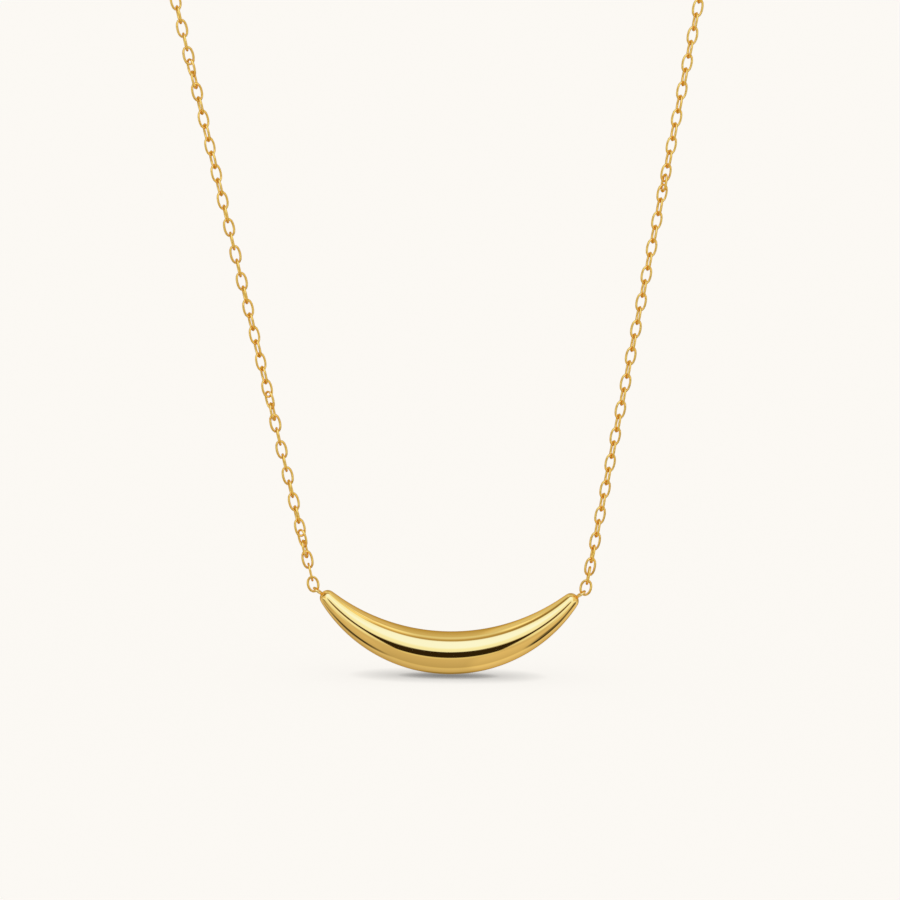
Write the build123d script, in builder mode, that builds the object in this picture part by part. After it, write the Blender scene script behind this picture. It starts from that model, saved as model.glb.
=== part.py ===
from build123d import *
from math import acos, atan2, cos, degrees, exp, pi, radians, sin
import os

# A crescent pendant hung level by both its ends on a fine cable chain.
# Millimetres. The origin is at the nape, in the middle of the clasp. +X is to the right of
# someone facing the pendant, +Y goes back through the neck and +Z is up.

# The crescent: a solid bar of round section that fills the space between two arcs
inner_arc_radius = 24.25
outer_arc_radius = 18.85
belly_thickness = 5.39
tip_radius = 1.0
crescent_sections = 11

# The eyes: a small wire ring soldered to each tip of the crescent and each end of the clasp
eye_wire = 0.3
eye_outer = 1.5
eye_sunk = 0.24
eye_rise = 35.5
eye_clearance = 0.125

# The jump rings: an oval ring through each eye of the crescent
ring_length = 2.14
ring_width = 1.58
ring_wire = 0.31
ring_end_radius = 0.58
ring_slip = 32.0
ring_lean = 12.25

# The chain: oval cable links of thin wire, each turned a quarter against the last
link_length = 2.46
link_width = 1.47
link_wire = 0.3
link_end_radius = 0.46
link_clearance = 0.105
quarter_turn = 90.0

# Where the pendant swings, below, in front and to the right of the nape, and how far each
# strand leans out there. The pendant's weight pulls each strand straight up to the collar
pendant_drop = 112.7
pendant_front = 78.0
pendant_aside = 2.4
strand_lean = {"left": 13.7, "right": 9.9}
strand_straight = 74.0

# The route of the right strand, above its straight stretch and round the side of the neck. The
# left strand's is its mirror image
strand_route = [
    (38.6, -75.0, -18.5),
    (43.6, -61.5, -3.0),
    (44.8, -41.0, 2.6),
    (37.6, -19.0, 3.0),
    (21.6, -4.2, 1.4),
]

# Slack in the links above the jump rings, as a share of the pitch that dies away up the strand
slack_share = 0.08
slack_links = 10.0

# Each strand's turn about its own line, the links that it comes on over, and how it wanders
strand_roll = {"left": 18.0, "right": 18.5}
roll_links = {"left": 4.0, "right": 4.0}
roll_wander = {"left": 9.0, "right": 3.5}
wander_links = {"left": 15.0, "right": 26.0}

# Kinks, counted up from the jump ring: first link, links, turn of each, and how much closer it
# sits to the one before, as a share of the pitch
kinks = {
    "left": [(3, 3, 60.0, 0.15), (14, 3, 60.0, 0.12), (39, 3, 60.0, 0.11)],
    "right": [(2, 1, 90.0, 0.28), (31, 2, 90.0, 0.25)],
}

# The clasp: a plain barrel
barrel_length = 7.0
barrel_diameter = 2.8
barrel_end_diameter = 1.5
barrel_end_length = 0.9
barrel_seam_width = 0.3
barrel_seam_depth = 0.12

sides = {"left": -1, "right": 1}


# The crescent, worked out about the centre of its inner arc.
# A ball that touches both arcs rolls from tip to tip, and the bar's surface wraps it
arc_gap = inner_arc_radius + belly_thickness - outer_arc_radius
arc_sum = inner_arc_radius + outer_arc_radius
tip_distance = inner_arc_radius + tip_radius
tip_angle = degrees(acos((arc_sum - (arc_sum**2 - arc_gap**2) / (2 * tip_distance)) / arc_gap))


def ball_centre(angle):
    distance = (arc_sum**2 - arc_gap**2) / (2 * (arc_sum - arc_gap * cos(radians(angle))))
    return Vector(distance * sin(radians(angle)), 0, -distance * cos(radians(angle)))


def touching_points(angle):
    outer_centre = Vector(0, 0, -arc_gap)
    inner = ball_centre(angle).normalized() * inner_arc_radius
    outer = outer_centre + (ball_centre(angle) - outer_centre).normalized() * outer_arc_radius
    return inner, outer


# The right eye stands on the tip, and the jump ring's wire passes just inside its far side
eye_radius = (eye_outer - eye_wire) / 2
eye_reach = eye_outer - eye_wire / 2 - eye_sunk
eye_direction = Vector(cos(radians(eye_rise)), 0, sin(radians(eye_rise)))
eye_far = ball_centre(tip_angle) + eye_direction * (tip_radius + eye_reach)
held_point = eye_far - eye_direction * ((eye_wire + ring_wire) / 2 + eye_clearance)

# The right jump ring leans out much as its strand does, and swings on the middle of its top bend
upward = Vector(sin(radians(ring_lean)), 0, cos(radians(ring_lean)))
outward = Vector(cos(radians(ring_lean)), 0, -sin(radians(ring_lean)))
ring_half_length = (ring_length - ring_wire) / 2
ring_bend_centre = ring_half_length - ring_end_radius
ring_centre = (
    held_point
    + upward * (ring_bend_centre + ring_end_radius * cos(radians(ring_slip)))
    + outward * (ring_end_radius * sin(radians(ring_slip)))
)
swing_point = ring_centre + upward * ring_half_length
pendant_origin = Vector(pendant_aside, -pendant_front, -pendant_drop - swing_point.Z)


def section_plane(angle):
    inner, outer = touching_points(angle)
    middle = pendant_origin + (inner + outer) * 0.5
    return Plane(origin=middle, x_dir=(0, 1, 0), z_dir=(outer - inner).cross(Vector(0, 1, 0)))


def section_radius(angle):
    inner, outer = touching_points(angle)
    return (outer - inner).length / 2


def on_side(side, point):
    return Vector(sides[side] * point.X, point.Y, point.Z)


def eye_plane(side):
    return Plane(
        origin=pendant_origin + on_side(side, eye_far - eye_direction * eye_radius),
        x_dir=on_side(side, eye_direction),
        z_dir=on_side(side, eye_direction).cross(Vector(0, 1, 0)),
    )


with BuildPart() as tip_right:
    with Locations(pendant_origin + ball_centre(tip_angle)):
        Sphere(tip_radius)
    split(bisect_by=section_plane(tip_angle), keep=Keep.TOP)

with BuildPart() as pendant:
    for number in range(crescent_sections):
        angle = tip_angle * (2 * number / (crescent_sections - 1) - 1)
        with BuildSketch(section_plane(angle)):
            Circle(section_radius(angle))
    loft()
    add(tip_right.part)
    add(mirror(tip_right.part, about=Plane.YZ.offset(pendant_aside), mode=Mode.PRIVATE))
    with Locations(eye_plane("left"), eye_plane("right")):
        Torus(eye_radius, eye_wire / 2)


# A ring or link: a round wire bent to an oval of four arcs, flat on XY and long on X
def oval(length, width, wire, end_radius):
    half_length = (length - wire) / 2
    half_width = (width - wire) / 2
    bend_centre = half_length - end_radius
    side_radius = (bend_centre**2 + half_width**2 - end_radius**2) / (
        2 * (half_width - end_radius)
    )
    bend = atan2(side_radius - half_width, bend_centre)
    shoulder = (bend_centre + end_radius * cos(bend), end_radius * sin(bend))
    with BuildPart() as bent:
        with BuildLine() as wire_path:
            RadiusArc((half_length, 0), shoulder, -end_radius)
            RadiusArc(shoulder, (0, half_width), -side_radius)
            mirror(about=Plane.YZ)
            mirror(about=Plane.XZ)
        with BuildSketch(Plane(origin=(half_length, 0, 0), z_dir=(0, 1, 0))):
            Circle(wire / 2)
        sweep(path=wire_path.wire())
    return bent


def jump_ring(side):
    place = Plane(
        origin=pendant_origin + on_side(side, ring_centre),
        x_dir=on_side(side, upward),
        z_dir=(0, -1, 0),
    )
    with BuildPart() as ring:
        with Locations(place):
            add(oval(ring_length, ring_width, ring_wire, ring_end_radius).part)
    return ring


jump_ring_left = jump_ring("left")
jump_ring_right = jump_ring("right")


# The strands
link = oval(link_length, link_width, link_wire, link_end_radius)
link_half_length = (link_length - link_wire) / 2
link_pitch = 2 * link_half_length - link_wire - link_clearance
first_step = link_half_length - (ring_wire + link_wire) / 2 - eye_clearance

barrel_eye_far = barrel_length / 2 + eye_reach
clasp_end = barrel_eye_far - (eye_wire + link_wire) / 2 - eye_clearance + link_half_length


def turn_and_closer(side, number):
    for first, count, turn, closer in kinks[side]:
        if first <= number < first + count:
            return turn, closer
    return quarter_turn, 0


def step_before(side, number):
    closer = turn_and_closer(side, number)[1]
    return link_pitch * (1 - slack_share * exp(-number / slack_links) - closer)


def roll(side, number):
    wander = roll_wander[side] * sin(2 * pi * number / wander_links[side])
    return (strand_roll[side] + wander) * (1 - exp(-number / roll_links[side]))


def strand_path(side):
    lean = radians(strand_lean[side])
    start = on_side(side, Vector(sin(lean), 0, cos(lean)))
    first_link = pendant_origin + on_side(side, swing_point) + start * first_step
    chosen = [on_side(side, Vector(point)) for point in strand_route]
    last_link = on_side(side, Vector(clasp_end, 0, 0))
    with BuildLine() as path:
        straight = Line(first_link, first_link + start * strand_straight)
        Spline(
            [straight @ 1, *chosen, last_link],
            tangents=[start, (-sides[side], 0, 0)],
            tangent_scalars=(1, 1),
        )
    return path.wire()


def link_planes(side):
    path = strand_path(side)
    distances = [0]
    while distances[-1] < path.length:
        distances.append(distances[-1] + step_before(side, len(distances) + 1))
    flat = Vector(0, -1, 0)
    turned = 0
    planes = []
    for number, distance in enumerate(distances, start=1):
        share = distance / distances[-1]
        along = path.tangent_at(share)
        flat = (flat - along * flat.dot(along)).normalized()
        turned += turn_and_closer(side, number)[0]
        facing = flat.rotate(Axis((0, 0, 0), along), turned + roll(side, number))
        planes.append(Plane(origin=path.position_at(share), x_dir=along, z_dir=facing))
    return planes


def strand(side):
    with BuildPart() as links:
        with Locations(*link_planes(side)):
            add(link.part)
    return links


chain_left = strand("left")
chain_right = strand("right")


# The clasp: a plain turned barrel with a fine seam round its middle, and an eye at each end
# that stands square to the last link it holds
def clasp_eye_plane(side):
    return Plane(
        origin=(sides[side] * (barrel_eye_far - eye_radius), 0, 0),
        x_dir=(sides[side], 0, 0),
        z_dir=link_planes(side)[-1].y_dir,
    )


with BuildPart() as clasp:
    with BuildSketch(Plane.XY):
        with BuildLine():
            Polyline(
                (-barrel_length / 2, 0),
                (-barrel_length / 2, barrel_end_diameter / 2),
                (barrel_end_length - barrel_length / 2, barrel_diameter / 2),
                (-barrel_seam_width / 2, barrel_diameter / 2),
                (0, barrel_diameter / 2 - barrel_seam_depth),
                (barrel_seam_width / 2, barrel_diameter / 2),
                (barrel_length / 2 - barrel_end_length, barrel_diameter / 2),
                (barrel_length / 2, barrel_end_diameter / 2),
                (barrel_length / 2, 0),
                close=True,
            )
        make_face()
    revolve(axis=Axis.X)
    with Locations(clasp_eye_plane("left"), clasp_eye_plane("right")):
        Torus(eye_radius, eye_wire / 2)


pendant.part.label = "pendant"
jump_ring_left.part.label = "jump_ring_left"
jump_ring_right.part.label = "jump_ring_right"
chain_left.part.label = "chain_left"
chain_right.part.label = "chain_right"
clasp.part.label = "clasp"

os.makedirs("parts", exist_ok=True)
export_step(pendant.part, "parts/pendant.step")
export_step(jump_ring_left.part, "parts/jump_ring_left.step")
export_step(jump_ring_right.part, "parts/jump_ring_right.step")
export_step(chain_left.part, "parts/chain_left.step")
export_step(chain_right.part, "parts/chain_right.step")
export_step(clasp.part, "parts/clasp.step")
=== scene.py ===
import math
import bpy
import numpy as np
from mathutils import Matrix, Vector


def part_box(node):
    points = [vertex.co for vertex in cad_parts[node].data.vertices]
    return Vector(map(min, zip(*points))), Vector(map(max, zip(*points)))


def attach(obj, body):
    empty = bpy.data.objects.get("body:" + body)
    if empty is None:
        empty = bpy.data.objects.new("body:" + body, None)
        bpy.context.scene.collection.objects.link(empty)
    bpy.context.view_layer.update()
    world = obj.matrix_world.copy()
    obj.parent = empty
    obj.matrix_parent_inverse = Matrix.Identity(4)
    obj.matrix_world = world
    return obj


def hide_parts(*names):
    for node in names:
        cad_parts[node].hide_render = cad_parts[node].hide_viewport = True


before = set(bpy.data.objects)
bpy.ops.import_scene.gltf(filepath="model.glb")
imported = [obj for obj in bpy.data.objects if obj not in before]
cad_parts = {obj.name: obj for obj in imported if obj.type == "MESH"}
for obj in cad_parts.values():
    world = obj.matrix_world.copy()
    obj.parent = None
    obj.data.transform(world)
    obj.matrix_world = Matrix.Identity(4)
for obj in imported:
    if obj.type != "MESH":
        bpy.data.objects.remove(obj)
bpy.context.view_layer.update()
bpy.ops.object.select_all(action="DESELECT")


# The crescent
# A solid bar of round section that fills the space between two arcs, thick at the belly and
# running out to two blunt round tips. It is cast in brass, polished on a wheel and plated with
# gold, and a small wire eye is soldered to each tip.
mm = 0.001


def linear(hex_code):
    """An sRGB colour code as the linear light that a socket takes."""
    channels = [int(hex_code[i:i + 2], 16) / 255 for i in (1, 3, 5)]
    return [c / 12.92 if c <= 0.04045 else ((c + 0.055) / 1.055) ** 2.4 for c in channels] + [1]


def add_node(tree, kind, settings=(), links=()):
    """Adds a node. Settings go to sockets by name or number, and otherwise to the node itself."""
    node = tree.nodes.new(kind)
    own = {name for name in dict(settings) if isinstance(name, str) and hasattr(node, name)}
    for name, value in dict(settings).items():
        if name in own:
            setattr(node, name, value)
    for name, value in dict(settings).items():
        if name not in own:
            node.inputs[name].default_value = value
    for name, source in dict(links).items():
        tree.links.new(source, node.inputs[name])
    return node


def gold_plate(
    name, colour, thin_colour, rim_colour, smoothest, roughest,
    wave_size, wave_depth, hairline_size,
):
    """Gold plate on brass. The rim colour is what it turns to where it is seen almost edge on."""
    material = bpy.data.materials.new(name)
    material.use_nodes = True
    tree = material.node_tree
    surface = tree.nodes["Principled BSDF"]
    surface.inputs["Metallic"].default_value = 1
    surface.inputs["Specular Tint"].default_value = linear(rim_colour)
    place = add_node(tree, "ShaderNodeTexCoord").outputs["Object"]

    # The plate's colour drifts a very little, where it is thinner
    patches = {"Scale": 1 / thin_patch_size, "Detail": 2}
    drift = add_node(tree, "ShaderNodeTexNoise", patches, {"Vector": place})
    colours = {"data_type": "RGBA", 6: linear(colour), 7: linear(thin_colour)}
    tone = add_node(tree, "ShaderNodeMix", colours, {0: drift.outputs["Fac"]})
    tree.links.new(tone.outputs[2], surface.inputs["Base Color"])

    # Hairlines along the bar, drawn coarser than real ones so that the gloss varies a little
    drawn_out = {"Scale": (1 / hairline_stretch, 1, 1)}
    along_bar = add_node(tree, "ShaderNodeMapping", drawn_out, {"Vector": place}).outputs[0]
    fine = {"Scale": 1 / hairline_size, "Detail": 3}
    hairlines = add_node(tree, "ShaderNodeTexNoise", fine, {"Vector": along_bar})
    blur = {"To Min": smoothest, "To Max": roughest}
    gloss = add_node(tree, "ShaderNodeMapRange", blur, {"Value": hairlines.outputs["Fac"]})
    tree.links.new(gloss.outputs["Result"], surface.inputs["Roughness"])

    # The long shallow waves that polishing leaves
    long = {"Scale": 1 / wave_size, "Detail": 1}
    waves = add_node(tree, "ShaderNodeTexNoise", long, {"Vector": place})
    shallow = {"Strength": 1, "Distance": wave_depth}
    bump = add_node(tree, "ShaderNodeBump", shallow, {"Height": waves.outputs["Fac"]})
    tree.links.new(bump.outputs["Normal"], surface.inputs["Normal"])
    return material


thin_patch_size = 6 * mm
hairline_stretch = 12.5

# A mirror polish shows the studio as clean bands, a little soft at their edges and slightly wavy
polished_gold = gold_plate(
    "mirror polished gold plate", colour="#FACA6C", thin_colour="#F7C565", rim_colour="#F8DDA8",
    smoothest=0.03, roughest=0.07, wave_size=2.5 * mm, wave_depth=0.002 * mm,
    hairline_size=0.08 * mm,
)
inner_arc_radius = 24.25 * mm
outer_arc_radius = 18.85 * mm
tip_radius = 1.0 * mm
eye_wire = 0.3 * mm
eye_outer = 1.5 * mm
eye_sunk = 0.24 * mm
eye_rise = math.radians(35.5)
crescent_sides = 48
crescent_steps = 22
tip_steps = 5
halves_weld = 0.01 * mm
eye_steps = 40
eye_wire_sides = 14
sharp_edge = math.radians(40)

crescent_low, crescent_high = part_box("pendant")
belly_thickness = crescent_high.y - crescent_low.y
arcs_middle = (crescent_low + crescent_high) / 2
arcs_middle.z = crescent_low.z + belly_thickness + inner_arc_radius
arc_gap = inner_arc_radius + belly_thickness - outer_arc_radius
arc_sum = inner_arc_radius + outer_arc_radius
tip_distance = inner_arc_radius + tip_radius
tip_angle = math.acos((arc_sum - (arc_sum**2 - arc_gap**2) / (2 * tip_distance)) / arc_gap)


def ball_centre(angle):
    """The centre of the ball that touches both arcs, at an angle from the belly."""
    distance = (arc_sum**2 - arc_gap**2) / (2 * (arc_sum - arc_gap * math.cos(angle)))
    return Vector((distance * math.sin(angle), 0, -distance * math.cos(angle)))


def section(angle):
    """The middle, radius and lean of the bar's section at an angle from the belly."""
    outer_centre = Vector((0, 0, -arc_gap))
    inner = ball_centre(angle).normalized() * inner_arc_radius
    outer = outer_centre + (ball_centre(angle) - outer_centre).normalized() * outer_arc_radius
    across = inner - outer
    return arcs_middle + (inner + outer) / 2, across.length / 2, math.atan2(across.x, across.z)


def finish_piece(piece, name, material, body, slot, *nodes):
    """Names a finished mesh, gives it its plate, and puts it on its body in place of the nodes."""
    piece.name = name
    piece.data.name = name
    piece.data.materials.clear()
    piece.data.materials.append(material)
    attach(piece, body)
    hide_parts(*nodes)


# Half of it is drawn out ring by ring from the belly to the right tip
rings = [section(tip_angle * step / crescent_steps) for step in range(crescent_steps + 1)]
last_radius, last_lean = rings[-1][1:]
along = Vector((math.cos(last_lean), 0, -math.sin(last_lean)))
tip_ball = arcs_middle + ball_centre(tip_angle)
first_polar = math.asin(min(1, last_radius / tip_radius))
for step in range(1, tip_steps):
    polar = first_polar * (1 - step / tip_steps)
    ring_centre = tip_ball + along * tip_radius * math.cos(polar)
    rings.append((ring_centre, tip_radius * math.sin(polar), last_lean))

centre, radius, lean = rings[0]
bpy.ops.mesh.primitive_circle_add(
    vertices=crescent_sides, radius=radius, fill_type="NOTHING", location=centre,
    rotation=(0, math.pi / 2 + lean, 0),
)
crescent = bpy.context.object
bpy.ops.object.transform_apply(location=True, rotation=True, scale=True)
bpy.ops.object.mode_set(mode="EDIT")
bpy.ops.mesh.select_all(action="SELECT")
for next_centre, next_radius, next_lean in rings[1:]:
    bpy.ops.mesh.extrude_edges_move(TRANSFORM_OT_translate={"value": next_centre - centre})
    bpy.ops.transform.resize(value=[next_radius / radius] * 3, center_override=next_centre)
    bpy.ops.transform.rotate(value=lean - next_lean, orient_axis="Y", center_override=next_centre)
    centre, radius, lean = next_centre, next_radius, next_lean
tip_end = tip_ball + along * tip_radius
bpy.ops.mesh.extrude_edges_move(TRANSFORM_OT_translate={"value": tip_end - centre})
bpy.ops.mesh.merge(type="CENTER")
bpy.ops.object.mode_set(mode="OBJECT")

bpy.ops.object.empty_add(location=arcs_middle)
mirror_plane = bpy.context.object
bpy.context.view_layer.objects.active = crescent
crescent.select_set(True)
mirror = crescent.modifiers.new("other half", "MIRROR")
mirror.mirror_object = mirror_plane
mirror.merge_threshold = halves_weld
smooth = crescent.modifiers.new("smooth bar", "SUBSURF")
smooth.levels = smooth.render_levels = 1
bpy.ops.object.modifier_apply(modifier=mirror.name)
bpy.ops.object.modifier_apply(modifier=smooth.name)
bpy.data.objects.remove(mirror_plane)
bpy.ops.object.mode_set(mode="EDIT")
bpy.ops.mesh.select_all(action="SELECT")
bpy.ops.mesh.normals_make_consistent(inside=False)
bpy.ops.object.mode_set(mode="OBJECT")

# Each eye is a torus of wire standing on the tip, joined to the bar as the solder joins it
eye_radius = (eye_outer - eye_wire) / 2
eye_reach = tip_radius - eye_sunk + eye_outer / 2
for side in (-1, 1):
    out_and_up = Vector((math.cos(eye_rise), 0, math.sin(eye_rise)))
    offset = ball_centre(tip_angle) + out_and_up * eye_reach
    offset.x *= side
    bpy.ops.mesh.primitive_torus_add(
        major_radius=eye_radius, minor_radius=eye_wire / 2,
        major_segments=eye_steps, minor_segments=eye_wire_sides,
        location=arcs_middle + offset, rotation=(0, -side * eye_rise, 0),
    )
    eye = bpy.context.object
    bpy.ops.object.transform_apply(location=True, rotation=True, scale=True)
    solder = crescent.modifiers.new("soldered eye", "BOOLEAN")
    solder.operation = "UNION"
    solder.solver = "EXACT"
    solder.object = eye
    bpy.ops.object.select_all(action="DESELECT")
    crescent.select_set(True)
    bpy.context.view_layer.objects.active = crescent
    bpy.ops.object.modifier_apply(modifier=solder.name)
    bpy.data.objects.remove(eye)
bpy.ops.object.shade_smooth_by_angle(angle=sharp_edge)
finish_piece(crescent, "crescent", polished_gold, "pendant", "pendant_gold", "pendant")


# The jump rings
# The last open link of each strand is a little wider and rounder than the rest, bent from the
# same kind of round brass wire, plated with gold, and closed through the eye.

# Drawn wire is yellower than the bar and not quite as smooth, so its glints are small and soft
wire_gold = gold_plate(
    "bright gold plated wire", colour="#FFC95C", thin_colour="#FCBF4E", rim_colour="#E4AE50",
    smoothest=0.04, roughest=0.09, wave_size=0.6 * mm, wave_depth=0.001 * mm,
    hairline_size=0.04 * mm,
)
ring_length = 2.14 * mm
ring_width = 1.58 * mm
ring_wire = 0.31 * mm
ring_fullness = 1.13
solid_weld = 0.0005 * mm


def oval_of_wire(length, width, wire, fullness, steps, rounding):
    """An oval of round wire, flat on XY and long on X. Its fullness rounds out its two ends."""
    bpy.ops.object.select_all(action="DESELECT")
    bpy.ops.curve.primitive_bezier_circle_add(radius=1)
    oval = bpy.context.object
    oval.data.bevel_depth = wire / 2
    oval.data.bevel_resolution = rounding
    oval.data.resolution_u = steps
    bpy.ops.object.mode_set(mode="EDIT")
    bpy.ops.curve.select_all(action="SELECT")
    half_length, half_width = (length - wire) / 2, (width - wire) / 2
    bpy.ops.transform.resize(value=(half_length, half_width, 1), center_override=(0, 0, 0))
    bpy.ops.object.mode_set(mode="OBJECT")
    for point in oval.data.splines[0].bezier_points:
        if abs(point.co.x) > half_length / 2:
            point.handle_left = point.co + (point.handle_left - point.co) * fullness
            point.handle_right = point.co + (point.handle_right - point.co) * fullness
    bpy.ops.object.convert(target="MESH")
    bpy.ops.object.shade_smooth()
    return oval


def loose_solids(node):
    """Where each loose solid of a CAD node lies: its middle, long on X and flat on XY."""
    bpy.ops.object.select_all(action="DESELECT")
    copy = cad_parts[node].copy()
    copy.data = copy.data.copy()
    bpy.context.collection.objects.link(copy)
    copy.parent = None
    bpy.context.view_layer.objects.active = copy
    copy.select_set(True)
    bpy.ops.object.mode_set(mode="EDIT")
    bpy.ops.mesh.select_all(action="SELECT")
    bpy.ops.mesh.remove_doubles(threshold=solid_weld)
    bpy.ops.mesh.separate(type="LOOSE")
    bpy.ops.object.mode_set(mode="OBJECT")
    places = []
    for solid in bpy.context.selected_objects:
        mesh = solid.data
        areas = np.array([face.area for face in mesh.polygons])
        middles = np.array([face.center for face in mesh.polygons])
        middle = areas @ middles / areas.sum()
        spread = ((middles - middle) * areas[:, None]).T @ (middles - middle)
        axes = np.linalg.eigh(spread)[1].T
        flat, long = axes[0], axes[2]
        turned = Matrix([long, np.cross(flat, long), flat]).transposed().to_4x4()
        places.append(Matrix.Translation(Vector(middle)) @ turned)
        bpy.data.objects.remove(solid)
    return places


for side in ("left", "right"):
    node = "jump_ring_" + side
    ring = oval_of_wire(ring_length, ring_width, ring_wire, ring_fullness, steps=10, rounding=4)
    ring.data.transform(loose_solids(node)[0])
    finish_piece(ring, "oval_" + node, wire_gold, "pendant", "chain_gold", node)


# The chain
# Two strands of a fine cable chain: oval links of gold-plated brass wire, each soldered shut and
# turned a quarter against the last. One is made, and a copy laid wherever the frame has a link.
link_length = 2.46 * mm
link_width = 1.47 * mm
link_wire = 0.3 * mm
link_fullness = 1.18

link = oval_of_wire(link_length, link_width, link_wire, link_fullness, steps=4, rounding=1)
link_places = {}
for side in ("left", "right"):
    node = "chain_" + side
    link_places[side] = loose_solids(node)
    bpy.ops.object.select_all(action="DESELECT")
    for place in link_places[side]:
        copy = bpy.data.objects.new("link", link.data.copy())
        copy.data.transform(place)
        bpy.context.collection.objects.link(copy)
        copy.select_set(True)
    bpy.context.view_layer.objects.active = copy
    bpy.ops.object.join()
    finish_piece(bpy.context.object, "cable_links_" + side, wire_gold, "chain", "chain_gold", node)
bpy.data.objects.remove(link)


# The clasp
# A plain barrel turned from brass and plated, with tapered ends, a fine seam where its two halves
# meet, and a wire eye soldered to each end that holds the last link of a strand.
barrel_length = 7.0 * mm
barrel_diameter = 2.8 * mm
barrel_end_diameter = 1.5 * mm
barrel_end_length = 0.9 * mm
seam_width = 0.3 * mm
seam_depth = 0.12 * mm
barrel_sides = 64
clasp_eye_steps = 32
clasp_eye_wire_sides = 12
edge_rounding = 0.12 * mm
corner_angle = math.radians(30)

clasp_low, clasp_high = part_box("clasp")
barrel_middle = (clasp_low + clasp_high) / 2
barrel_stations = [
    (-barrel_length / 2, barrel_end_diameter / 2),
    (barrel_end_length - barrel_length / 2, barrel_diameter / 2),
    (-seam_width / 2, barrel_diameter / 2),
    (0, barrel_diameter / 2 - seam_depth),
    (seam_width / 2, barrel_diameter / 2),
    (barrel_length / 2 - barrel_end_length, barrel_diameter / 2),
    (barrel_length / 2, barrel_end_diameter / 2),
]
bpy.ops.object.select_all(action="DESELECT")
position, radius = barrel_stations[0]
bpy.ops.mesh.primitive_circle_add(
    vertices=barrel_sides, radius=radius, fill_type="NGON",
    location=barrel_middle + Vector((position, 0, 0)), rotation=(0, math.pi / 2, 0),
)
barrel = bpy.context.object
bpy.ops.object.transform_apply(location=True, rotation=True, scale=True)
bpy.ops.object.mode_set(mode="EDIT")
bpy.ops.mesh.select_all(action="SELECT")
for next_position, next_radius in barrel_stations[1:]:
    step = (next_position - position, 0, 0)
    bpy.ops.mesh.extrude_region_move(TRANSFORM_OT_translate={"value": step})
    growth = (1, next_radius / radius, next_radius / radius)
    next_middle = barrel_middle + Vector((next_position, 0, 0))
    bpy.ops.transform.resize(value=growth, center_override=next_middle)
    position, radius = next_position, next_radius
bpy.ops.mesh.select_all(action="SELECT")
bpy.ops.mesh.normals_make_consistent(inside=False)
bpy.ops.object.mode_set(mode="OBJECT")
rounding = barrel.modifiers.new("turned edges", "BEVEL")
rounding.width = edge_rounding
rounding.segments = 3
rounding.angle_limit = corner_angle
bpy.ops.object.modifier_apply(modifier=rounding.name)

# Each eye stands square to the link that it holds
clasp_eye_reach = barrel_length / 2 - eye_sunk + eye_outer / 2
for side, sign in (("left", -1), ("right", 1)):
    last_link = min(link_places[side], key=lambda place: place.translation.length)
    eye_middle = Vector((sign * clasp_eye_reach, 0, 0)) + barrel_middle
    bpy.ops.mesh.primitive_torus_add(
        major_radius=eye_radius, minor_radius=eye_wire / 2,
        major_segments=clasp_eye_steps, minor_segments=clasp_eye_wire_sides, location=(0, 0, 0),
    )
    eye = bpy.context.object
    square = Vector(last_link.col[1][:3]).to_track_quat("Z", "X").to_matrix().to_4x4()
    eye.data.transform(Matrix.Translation(eye_middle) @ square)
    eye.select_set(True)
    barrel.select_set(True)
    bpy.context.view_layer.objects.active = barrel
    bpy.ops.object.join()
bpy.ops.object.shade_smooth_by_angle(angle=sharp_edge)
finish_piece(barrel, "barrel_clasp", wire_gold, "chain", "chain_gold", "clasp")


# The studio
# The crescent hangs just clear of a pale paper floor, which glows from below and has a painted
# contact shadow in its colour where the gold stands close over it. The gold sees a tent of lit
# cloth all round it, with a softbox high in front and a dark card round the lens. A silk and a
# faint dome add a little light from overhead.
floor_gap = 0.2 * mm
floor_size = 6
paper = "#FBF8F3"
glow_from_below = 0.85
painted_contact_shadows = [(1.3 * mm, 0.42), (4 * mm, 0.56)]  # reach, and how dark the paper gets there
shade_samples = 4

bpy.ops.object.select_all(action="DESELECT")
bpy.ops.mesh.primitive_plane_add(size=floor_size, location=(0, 0, crescent_low.z - floor_gap))
floor = bpy.context.object
floor.name = "floor"
floor_paper = bpy.data.materials.new("matt ivory paper")
floor_paper.use_nodes = True
tree = floor_paper.node_tree
shades = []
# Two ambient occlusion nodes paint a contact shadow into the paper's colour and glow, darkest
# nearest the gold
for reach, darkest in painted_contact_shadows:
    near = {"samples": shade_samples, "Distance": reach}
    contact = add_node(tree, "ShaderNodeAmbientOcclusion", near)
    fade = {"To Min": darkest, "To Max": 1}
    painted_shadow = add_node(tree, "ShaderNodeMapRange", fade, {"Value": contact.outputs["AO"]})
    shades.append(painted_shadow.outputs["Result"])
shade = add_node(tree, "ShaderNodeMath", {"operation": "MULTIPLY"}, {0: shades[0], 1: shades[1]})
multiply = {"data_type": "RGBA", "blend_type": "MULTIPLY", 0: 1, 6: linear(paper)}
paper_with_painted_shadow = add_node(tree, "ShaderNodeMix", multiply, {7: shade.outputs[0]}).outputs[2]
surface = tree.nodes["Principled BSDF"]
surface.inputs["Roughness"].default_value = 1
surface.inputs["Specular IOR Level"].default_value = 0
surface.inputs["Emission Strength"].default_value = glow_from_below
tree.links.new(paper_with_painted_shadow, surface.inputs["Base Color"])
tree.links.new(paper_with_painted_shadow, surface.inputs["Emission Color"])
floor.data.materials.append(floor_paper)
floor.visible_glossy = False

# The photograph's own angle, framing and small roll, through a lens so long that nothing recedes
lens_rise = math.radians(9)
lens_roll = math.radians(0.73)
lens_distance = 1.2
film_width = 36
picture_pixels = 900
pixels_per_mm = 8
belly_pixel = (448.6, 652.8)

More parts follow.
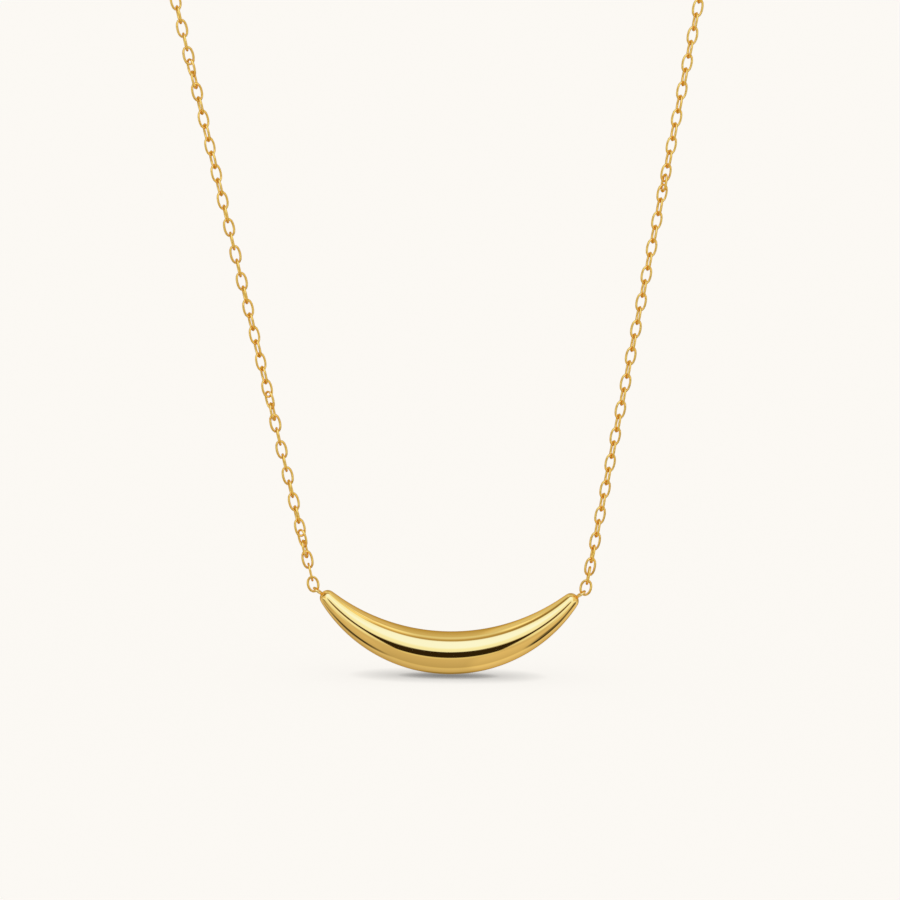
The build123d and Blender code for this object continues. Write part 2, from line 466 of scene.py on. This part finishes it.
belly = Vector((arcs_middle.x, arcs_middle.y, crescent_low.z + belly_thickness / 2))
forward = Vector((0, math.cos(lens_rise), -math.sin(lens_rise)))
level_right = Vector((1, 0, 0))
level_up = Vector((0, math.sin(lens_rise), math.cos(lens_rise)))
right = level_right * math.cos(lens_roll) + level_up * math.sin(lens_roll)
up = level_up * math.cos(lens_roll) - level_right * math.sin(lens_roll)
aim = belly
aim = aim + right * (picture_pixels / 2 - belly_pixel[0]) / pixels_per_mm * mm
aim = aim + up * (belly_pixel[1] - picture_pixels / 2) / pixels_per_mm * mm
bpy.ops.object.camera_add()
camera = bpy.context.object
turned = Matrix([right, up, -forward]).transposed().to_4x4()
camera.matrix_world = Matrix.Translation(aim - forward * lens_distance) @ turned
camera.data.sensor_width = film_width
camera.data.lens = film_width * lens_distance / (picture_pixels / pixels_per_mm * mm)
camera.data.clip_start = 0.01
camera.data.clip_end = 20
bpy.context.scene.camera = camera

# The tent. Its walls are told by tilt, in degrees about the bar's own line: 0 is level towards the
# lens, 90 straight up, 180 behind and -90 straight down. Side is how far along the bar, -1 to 1
tent_radius = 0.45
tent_walls = [
    # The back wall, from level down to under the belly
    (-180, "#AEA88C"), (-160, "#AEADA6"), (-150, "#C2C4D8"), (-115, "#CED2EA"),
    # The pale edge of the table straight below, and the low wall in front of it up to the lens
    (-88, "#DFE6F4"), (-83, "#DDE2E6"), (-78, "#C4C6C8"), (-35, "#D4D7DE"), (-15, "#D9DCE2"),
    # The front wall, and the gap between the softbox and the ceiling
    (-8, "#ECF1F8"), (66, "#ECF1F8"), (68, "#B4AB8B"), (79, "#B4AB8B"), (85, "#CCCDC6"),
    # The lit strip overhead, and the ceiling back to the back wall
    (90, "#E0ECF6"), (98, "#E3F3FF"), (103, "#D6DDDF"), (150, "#C1C0BB"), (180, "#AEA88C"),
]

bpy.ops.mesh.primitive_ico_sphere_add(subdivisions=3, radius=tent_radius, location=belly)
tent = bpy.context.object
tent.name = "light_tent"
tent_cloth = bpy.data.materials.new("lit tent cloth")
tent_cloth.use_nodes = True
tent_cloth.cycles.emission_sampling = "NONE"
tree = tent_cloth.node_tree
tree.nodes.clear()
place = add_node(tree, "ShaderNodeTexCoord").outputs["Object"]
unit = add_node(tree, "ShaderNodeVectorMath", {"operation": "NORMALIZE"}, {0: place})
parts = add_node(tree, "ShaderNodeSeparateXYZ", (), {0: unit.outputs[0]})
negate = {"operation": "MULTIPLY", 1: -1}
to_lens = add_node(tree, "ShaderNodeMath", negate, {0: parts.outputs["Y"]})
rise_and_run = {0: parts.outputs["Z"], 1: to_lens.outputs[0]}
angle = add_node(tree, "ShaderNodeMath", {"operation": "ARCTAN2"}, rise_and_run)
tilt = add_node(tree, "ShaderNodeMath", {"operation": "DEGREES"}, {0: angle.outputs[0]}).outputs[0]
side = parts.outputs["X"]
sideways = add_node(tree, "ShaderNodeMath", {"operation": "ABSOLUTE"}, {0: side}).outputs[0]

turn = add_node(tree, "ShaderNodeMapRange", {"From Min": -180, "From Max": 180}, {"Value": tilt})
walls = add_node(tree, "ShaderNodeValToRGB", (), {0: turn.outputs["Result"]})
for number, (at, colour) in enumerate(tent_walls):
    spot = (at + 180) / 360
    stops = walls.color_ramp.elements
    stop = stops[0] if number == 0 else stops[1] if number == 1 else stops.new(spot)
    stop.position = spot
    stop.color = linear(colour)
seen = walls.outputs[0]


def within(value, low, high, soft):
    """One between low and high, and zero outside, with edges that fade over soft each way."""
    middle, half = (low + high) / 2, (high - low) / 2
    off = add_node(tree, "ShaderNodeMath", {"operation": "SUBTRACT", 1: middle}, {0: value})
    away = add_node(tree, "ShaderNodeMath", {"operation": "ABSOLUTE"}, {0: off.outputs[0]})
    fade = {"interpolation_type": "SMOOTHSTEP", "From Min": half + soft, "From Max": half - soft}
    return add_node(tree, "ShaderNodeMapRange", fade, {"Value": away.outputs[0]}).outputs["Result"]


def panel(behind, blend, colour, strength, axes, tilts, tilt_soft, sides, side_soft):
    """Lays a panel over what is behind it, or tints and brightens that if it is MULTIPLY."""
    across, along = axes
    both = add_node(
        tree, "ShaderNodeMath", {"operation": "MULTIPLY"},
        {0: within(across, *tilts, tilt_soft), 1: within(along, *sides, side_soft)},
    )
    lit = [c * strength for c in linear(colour)]
    settings = {"data_type": "RGBA", "blend_type": blend, 7: lit}
    return add_node(tree, "ShaderNodeMix", settings, {0: both.outputs[0], 6: behind}).outputs[2]


# The softbox has a rounded top, so its tilt falls off towards its sides
softbox_middle = 0.08
softbox_drop = 45
from_middle = {"operation": "SUBTRACT", 1: softbox_middle}
off_middle = add_node(tree, "ShaderNodeMath", from_middle, {0: side}).outputs[0]
bow = add_node(tree, "ShaderNodeMath", {"operation": "MULTIPLY"}, {0: off_middle, 1: off_middle})
drop = {"operation": "MULTIPLY_ADD", 1: softbox_drop}
rounded = add_node(tree, "ShaderNodeMath", drop, {0: bow.outputs[0], 2: tilt}).outputs[0]
one_side, both_sides, round_topped = (tilt, side), (tilt, sideways), (rounded, sideways)

# A row gives a panel's blend, colour and strength, the two axes that it is measured on, its tilts
# and how soft those two edges are, and its sides and how soft those are. A side of 1.5 is past the
# end of the tent, so the panel has no edge there
panels = [
    # The low cloth is brighter on the right, and less so on the left
    ("MULTIPLY", "#FFFFFF", 1.17, one_side, (-140, -28), 6, (0.15, 1.5), 0.05),
    ("MULTIPLY", "#FFFFFF", 1.10, one_side, (-110, -28), 6, (-1.5, -0.42), 0.05),
    # The cloth above and behind is brighter and bluer to each side, most of all on the left
    ("MULTIPLY", "#FFFFFF", 1.36, one_side, (87, 104), 3, (-0.46, -0.27), 0.05),
    ("MULTIPLY", "#FFFFFF", 1.33, one_side, (104, 172), 3, (-1.5, -0.18), 0.05),
    ("MULTIPLY", "#FFFFFF", 1.10, one_side, (118, 172), 5, (-1.5, -0.18), 0.05),
    ("MULTIPLY", "#FFFFFF", 1.2, one_side, (112, 172), 5, (0.23, 1.5), 0.05),
    ("MULTIPLY", "#DDE7FF", 1.20, one_side, (104, 150), 5, (-1.5, -0.2), 0.05),
    ("MULTIPLY", "#EDEEFF", 1.12, one_side, (112, 150), 5, (0.23, 1.5), 0.05),
    ("MULTIPLY", "#E7EDFF", 1.30, one_side, (88, 103), 3, (-0.45, 0.6), 0.05),
    # The low wall behind is brighter at its two far ends
    ("MULTIPLY", "#EEF4FF", 1.7, both_sides, (-200, -122), 6, (0.62, 1.5), 0.08),
    # The gap above the softbox is darker on the left, and white cloth fills it on the right
    ("MIX", "#988E6F", 1, one_side, (50, 82), 5, (-1.5, -0.3), 0.12),
    ("MIX", "#988E6F", 1, one_side, (70, 89), 4, (-1.5, -0.53), 0.06),
    ("MIX", "#F2FFFF", 0.96, one_side, (50, 84), 4, (0.36, 1.5), 0.05),
    ("MULTIPLY", "#FFFFFF", 1.33, one_side, (74, 101), 4, (0.2, 0.5), 0.08),
    # Bright cloth each side of the lens, a pale edge below it, and shade at the two far ends
    ("MIX", "#C0D8FF", 1.7, both_sides, (-13, 6), 8, (0.23, 1.5), 0.015),
    ("MIX", "#C0D8FF", 1.75, both_sides, (-24, 6), 6, (0.5, 1.5), 0.05),
    ("MIX", "#B4CBFF", 2.25, both_sides, (-9, 3), 4, (0.3, 1.5), 0.05),
    ("MIX", "#E6F1FA", 1, both_sides, (-25.5, -16), 1.5, (-1, 0.23), 0.03),
    ("MULTIPLY", "#BCBCBC", 1, both_sides, (-48, -20), 5, (0.74, 1.5), 0.04),
    # The softbox, whose middle is hotter
    ("MIX", "#A8C3FF", 2.55, round_topped, (12, 72), 2.5, (-1, 0.55), 0.05),
    ("MIX", "#A1BEFF", 2.85, round_topped, (26, 71), 6, (-1, 0.5), 0.05),
    ("MIX", "#89A7FF", 4.1, round_topped, (32, 71), 6, (-1, 0.27), 0.08),
    # The dark card round the lens, with a point on top, and brown in its two upper corners
    ("MIX", "#7E7258", 1, both_sides, (1, 14.5), 1.5, (0.13, 0.33), 0.03),
    ("MIX", "#302A20", 1, both_sides, (-17.6, 9.6), 1.5, (-1, 0.218), 0.012),
    ("MIX", "#302A20", 1, both_sides, (0, 13), 1.5, (-1, 0.06), 0.04),
    # A dark flag low on each side, and the shade under the belly
    ("MIX", "#A0A09E", 1, one_side, (-88, -72), 5, (-0.75, -0.41), 0.05),
    ("MIX", "#404040", 1, one_side, (-93, -72), 5, (-0.78, -0.5), 0.08),
    ("MIX", "#707070", 1, one_side, (-102, -88), 5, (-0.85, -0.6), 0.06),
    ("MIX", "#303030", 1, one_side, (-86, -65), 5, (0.54, 0.78), 0.05),
    ("MIX", "#707070", 1, one_side, (-68, -50), 6, (0.58, 0.86), 0.06),
    ("MIX", "#585858", 1, one_side, (-72, -38), 5, (0.76, 0.95), 0.04),
    ("MIX", "#9A9C9E", 1, both_sides, (-162, -124), 6, (-1, 0.1), 0.06),
]
for row in panels:
    seen = panel(seen, *row)
glow = add_node(tree, "ShaderNodeEmission", {"Strength": 1}, {"Color": seen})
add_node(tree, "ShaderNodeOutputMaterial", (), {"Surface": glow.outputs[0]})
tent.data.materials.append(tent_cloth)
tent.visible_camera = False
tent.visible_diffuse = False
tent.visible_shadow = False
tent.visible_transmission = False

# The silk and the dome light the paper a little, and aren't seen in the gold. Behind the floor the
# lens sees a backdrop of the same paper
silk_width = math.radians(140)
silk_strength = 0.4
dome_strength = 0.03
bpy.ops.object.light_add(type="SUN", location=(0, 0, 1))
silk = bpy.context.object
silk.name = "overhead_silk"
silk.data.angle = silk_width
silk.data.energy = silk_strength
silk.visible_glossy = False

world = bpy.data.worlds.new("studio")
world.use_nodes = True
world.cycles_visibility.glossy = False
bpy.context.scene.world = world
tree = world.node_tree
tree.nodes.clear()
ray = add_node(tree, "ShaderNodeLightPath").outputs["Is Camera Ray"]
dome = add_node(tree, "ShaderNodeBackground", {"Color": (1, 1, 1, 1), "Strength": dome_strength})
backdrop = add_node(tree, "ShaderNodeBackground", {"Color": linear(paper), "Strength": 1})
either = {0: ray, 1: dome.outputs[0], 2: backdrop.outputs[0]}
shown = add_node(tree, "ShaderNodeMixShader", (), either)
add_node(tree, "ShaderNodeOutputWorld", (), {"Surface": shown.outputs[0]})

bpy.context.scene.view_settings.view_transform = "Standard"
bpy.context.scene.cycles.caustics_reflective = False
